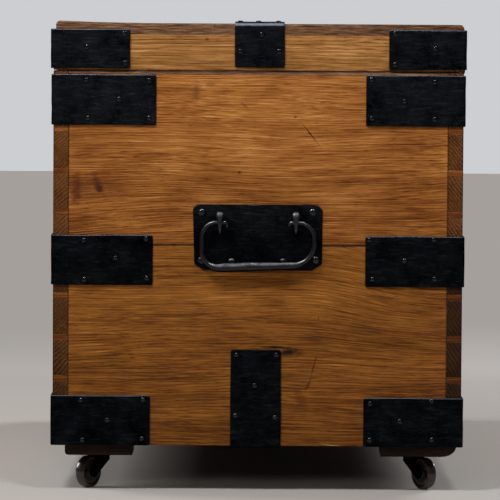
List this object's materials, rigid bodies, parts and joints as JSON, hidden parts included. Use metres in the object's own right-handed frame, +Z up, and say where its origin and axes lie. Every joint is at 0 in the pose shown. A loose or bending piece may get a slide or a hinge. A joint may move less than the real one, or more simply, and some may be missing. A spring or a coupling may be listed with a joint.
{
  "type": "iron-bound storage chest",
  "caption": "Lidded oak chest with dovetailed corners, black iron straps and domed nails, a swinging bail handle at each end and swivel casters below.",
  "frame": {"origin": "floor level, under the middle of the chest", "axes": "+X along the chest to its right-hand end, -Y out of the front, +Y towards the hinges, +Z up"},
  "size_m": [0.9356, 0.4985, 0.5578],
  "materials": {
    "body_oak": "waxed oak boards, golden brown above and darker below",
    "lid_rail_oak": "waxed oak, lighter than the body",
    "lid_top_oak": "oak boards with darkened edges",
    "bottom_oak": "plain sawn oak",
    "caster_block_oak": "dark worn oak blocks",
    "strap_iron": "black wrought iron strap",
    "nail_iron": "black domed heads",
    "handle_iron": "forged iron, worn to a satin grey",
    "lock_iron": "filed iron",
    "caster_bronze": "dark patinated bronze",
    "caster_wheel": "brown turned wheel with a soft gloss"
  },
  "bodies": {
    "chest": {"back_left_corner_straps": "strap_iron", "back_lower_board": "body_oak", "back_right_corner_straps": "strap_iron", "back_upper_board": "body_oak", "body_nails": "nail_iron", "bottom_boards": "bottom_oak", "bottom_centre_straps": "strap_iron", "caster_blocks": "caster_block_oak", "caster_plates": "caster_bronze", "caster_screws": "nail_iron", "end_top_lips": "body_oak", "escutcheon_pins": "nail_iron", "front_left_corner_straps": "strap_iron", "front_lower_board": "body_oak", "front_right_corner_straps": "strap_iron", "front_upper_board": "body_oak", "handle_nails": "nail_iron", "handle_washers": "handle_iron", "hinge_pins": "strap_iron", "keyhole_escutcheon": "strap_iron", "left_end_lower_board": "body_oak", "left_end_upper_board": "body_oak", "left_handle_plate": "strap_iron", "left_handle_posts": "handle_iron", "left_hinge_body_leaf": "strap_iron", "lock_case": "lock_iron", "right_end_lower_board": "body_oak", "right_end_upper_board": "body_oak", "right_handle_plate": "strap_iron", "right_handle_posts": "handle_iron", "right_hinge_body_leaf": "strap_iron"},
    "lid": {"left_hinge_lid_leaf": "strap_iron", "lid_back_board": "lid_top_oak", "lid_back_rail": "lid_rail_oak", "lid_centre_straps": "strap_iron", "lid_corner_straps": "strap_iron", "lid_front_board": "lid_top_oak", "lid_front_rail": "lid_rail_oak", "lid_left_rail": "lid_rail_oak", "lid_middle_board": "lid_top_oak", "lid_nails": "nail_iron", "lid_right_rail": "lid_rail_oak", "link_plate": "lock_iron", "right_hinge_lid_leaf": "strap_iron"},
    "right_bail": {"right_handle_bail": "handle_iron"},
    "left_bail": {"left_handle_bail": "handle_iron"},
    "lock_bolt": {"lock_bolt": "lock_iron"},
    "front_right_fork": {"front_right_caster_fork": "caster_bronze", "front_right_caster_axle": "caster_bronze"},
    "front_right_wheel": {"front_right_caster_wheel": "caster_wheel"},
    "back_right_fork": {"back_right_caster_fork": "caster_bronze", "back_right_caster_axle": "caster_bronze"},
    "back_right_wheel": {"back_right_caster_wheel": "caster_wheel"},
    "back_left_fork": {"back_left_caster_fork": "caster_bronze", "back_left_caster_axle": "caster_bronze"},
    "back_left_wheel": {"back_left_caster_wheel": "caster_wheel"},
    "front_left_fork": {"front_left_caster_fork": "caster_bronze", "front_left_caster_axle": "caster_bronze"},
    "front_left_wheel": {"front_left_caster_wheel": "caster_wheel"}
  },
  "joints": [
    {"name": "lid_hinge", "type": "hinge", "parent": "chest", "child": "lid", "pos_m": [0, 0.2469, 0.4969], "axis": [-1, 0, 0], "range_deg": [0, 100]},
    {"name": "right_bail_swing", "type": "hinge", "parent": "chest", "child": "right_bail", "pos_m": [0.461, 0, 0.319], "axis": [0, -1, 0], "range_deg": [0, 180]},
    {"name": "left_bail_swing", "type": "hinge", "parent": "chest", "child": "left_bail", "pos_m": [-0.461, 0, 0.319], "axis": [0, 1, 0], "range_deg": [0, 180]},
    {"name": "lock_bolt_slide", "type": "slide", "parent": "chest", "child": "lock_bolt", "axis": [-1, 0, 0], "range_m": [0, 0.0115]},
    {"name": "front_right_caster_swivel", "type": "hinge", "parent": "chest", "child": "front_right_fork", "pos_m": [0.396, -0.1875, 0.019], "axis": [0, 0, 1], "continuous": true},
    {"name": "front_right_wheel_spin", "type": "hinge", "parent": "front_right_fork", "child": "front_right_wheel", "pos_m": [0.41402, -0.20012, 0.019], "axis": [0.5736, 0.8192, 0], "continuous": true},
    {"name": "back_right_caster_swivel", "type": "hinge", "parent": "chest", "child": "back_right_fork", "pos_m": [0.396, 0.1875, 0.019], "axis": [0, 0, 1], "continuous": true},
    {"name": "back_right_wheel_spin", "type": "hinge", "parent": "back_right_fork", "child": "back_right_wheel", "pos_m": [0.41445, 0.19948, 0.019], "axis": [-0.5446, 0.8387, 0], "continuous": true},
    {"name": "back_left_caster_swivel", "type": "hinge", "parent": "chest", "child": "back_left_fork", "pos_m": [-0.396, 0.1875, 0.019], "axis": [0, 0, 1], "continuous": true},
    {"name": "back_left_wheel_spin", "type": "hinge", "parent": "back_left_fork", "child": "back_left_wheel", "pos_m": [-0.40633, 0.20692, 0.019], "axis": [-0.8829, -0.4695, 0], "continuous": true},
    {"name": "front_left_caster_swivel", "type": "hinge", "parent": "chest", "child": "front_left_fork", "pos_m": [-0.396, -0.1875, 0.019], "axis": [0, 0, 1], "continuous": true},
    {"name": "front_left_wheel_spin", "type": "hinge", "parent": "front_left_fork", "child": "front_left_wheel", "pos_m": [-0.41667, -0.19502, 0.019], "axis": [0.342, -0.9397, 0], "continuous": true}
  ]
}
